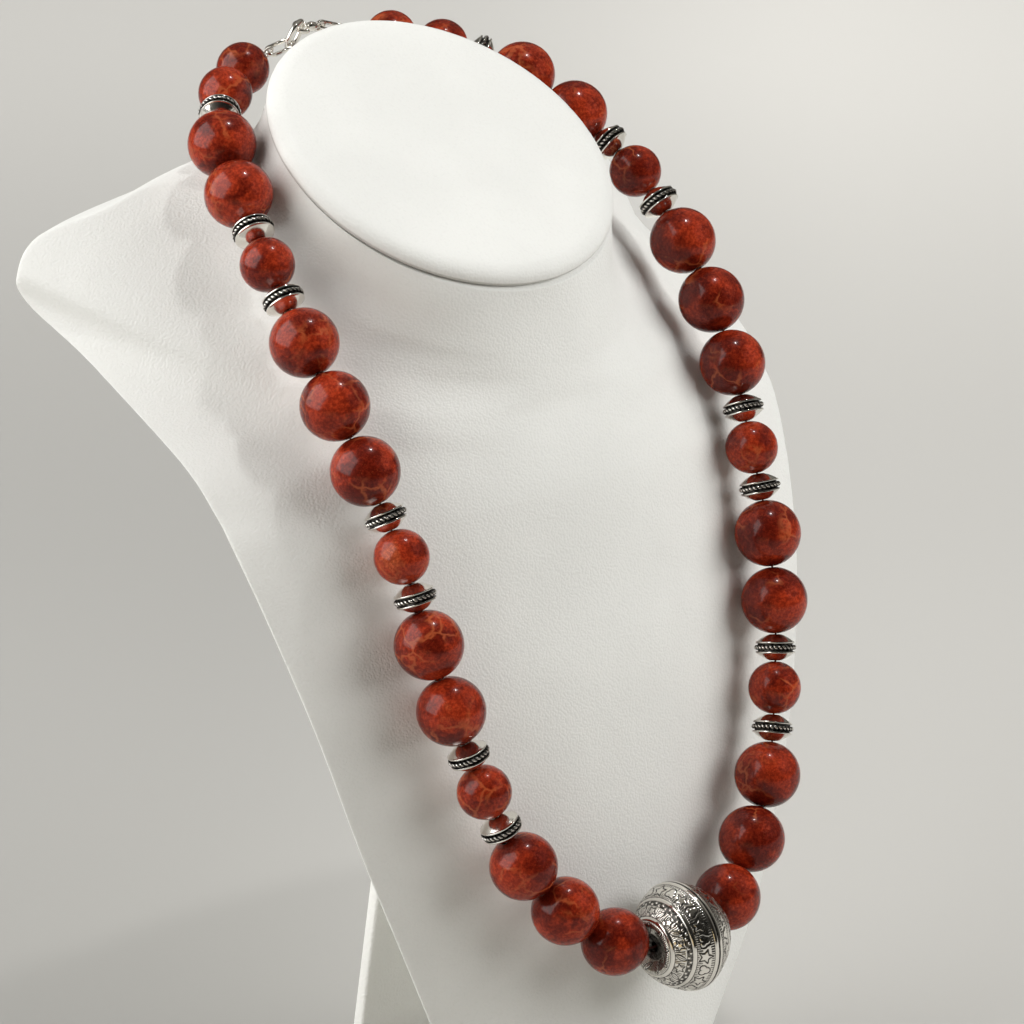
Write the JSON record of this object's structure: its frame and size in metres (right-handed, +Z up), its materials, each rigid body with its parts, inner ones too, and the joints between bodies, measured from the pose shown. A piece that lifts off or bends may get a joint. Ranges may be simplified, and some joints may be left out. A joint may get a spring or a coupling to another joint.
{
  "type": "coral bead necklace on a neck bust",
  "caption": "Necklace of large and small round red coral beads with silver saucer spacers and an engraved silver centre bead, shown on a white neck bust with a back leg.",
  "frame": {"origin": "on the table under the middle of the bust, at the centre of the part's footprint box", "axes": "+X to the viewer's right, +Y from the chest to the back, +Z up the bust"},
  "size_m": [0.2248, 0.1931, 0.3191],
  "materials": {
    "coral": "gloss",
    "silver": "polished",
    "engraved_silver": "oxidised",
    "thread": "matte",
    "leatherette": "satin",
    "board": "matte"
  },
  "bodies": {
    "root": {"large_bead_01": "coral", "large_bead_02": "coral", "large_bead_03": "coral", "large_bead_04": "coral", "large_bead_05": "coral", "large_bead_06": "coral", "large_bead_07": "coral", "large_bead_08": "coral", "large_bead_09": "coral", "large_bead_10": "coral", "large_bead_11": "coral", "large_bead_12": "coral", "large_bead_13": "coral", "large_bead_14": "coral", "large_bead_15": "coral", "large_bead_16": "coral", "large_bead_17": "coral", "large_bead_18": "coral", "large_bead_19": "coral", "large_bead_20": "coral", "small_bead_01": "coral", "small_bead_02": "coral", "small_bead_03": "coral", "small_bead_04": "coral", "small_bead_05": "coral", "small_bead_06": "coral", "small_bead_07": "coral", "small_bead_08": "coral", "small_bead_09": "coral", "small_bead_10": "coral", "spacer_01": "silver", "spacer_02": "silver", "spacer_03": "silver", "spacer_04": "silver", "spacer_05": "silver", "spacer_06": "silver", "spacer_07": "silver", "spacer_08": "silver", "spacer_09": "silver", "spacer_10": "silver", "spacer_11": "silver", "spacer_12": "silver", "spacer_13": "silver", "spacer_14": "silver", "end_loop_left": "silver", "end_loop_right": "silver", "link_left": "silver", "link_right": "silver", "clasp_ring": "silver", "clasp_hook": "silver", "centre_bead": "engraved_silver", "thread": "thread", "bust": "leatherette", "neck_pad": "leatherette", "stand_leg": "board"}
  },
  "joints": []
}
